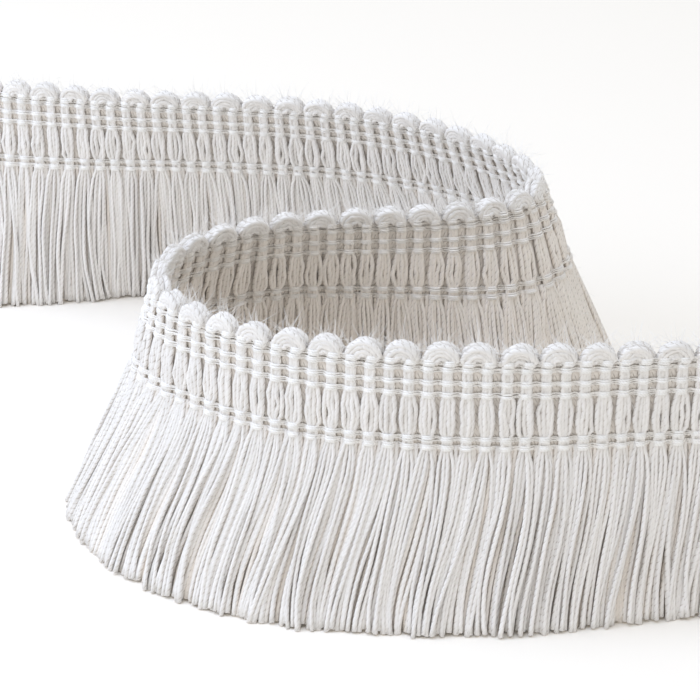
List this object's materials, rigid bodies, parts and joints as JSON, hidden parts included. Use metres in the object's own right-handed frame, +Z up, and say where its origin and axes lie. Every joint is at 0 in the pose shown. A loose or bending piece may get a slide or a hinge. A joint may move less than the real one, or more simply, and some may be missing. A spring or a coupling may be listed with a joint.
{
  "type": "fringe trim",
  "caption": "Cut length of cotton brush fringe: a looped, thread-bound heading over loose hanging yarns, standing on its fringe in an S curve.",
  "frame": {"origin": "bottom centre of the standing trim's bounding box, on the surface it stands on", "axes": "+X along the front run to its right-hand cut end, +Y from the front run back to the back run, +Z up from the fringe's cut ends to the loops"},
  "size_m": [0.1631, 0.1357, 0.048],
  "materials": {
    "heading_yarn": "matt off-white cotton yarn, looped and bound",
    "fringe_yarn": "matt off-white cotton yarn, two-ply, hanging loose",
    "binding_thread": "fine off-white thread with a soft sheen"
  },
  "bodies": {
    "root": {"heading": "heading_yarn", "fringe_01": "fringe_yarn", "fringe_02": "fringe_yarn", "fringe_03": "fringe_yarn", "fringe_04": "fringe_yarn", "fringe_05": "fringe_yarn", "fringe_06": "fringe_yarn", "fringe_07": "fringe_yarn", "fringe_08": "fringe_yarn", "fringe_09": "fringe_yarn", "fringe_10": "fringe_yarn", "fringe_11": "fringe_yarn", "fringe_12": "fringe_yarn", "fringe_13": "fringe_yarn", "fringe_14": "fringe_yarn", "fringe_15": "fringe_yarn", "fringe_16": "fringe_yarn"}
  },
  "joints": []
}
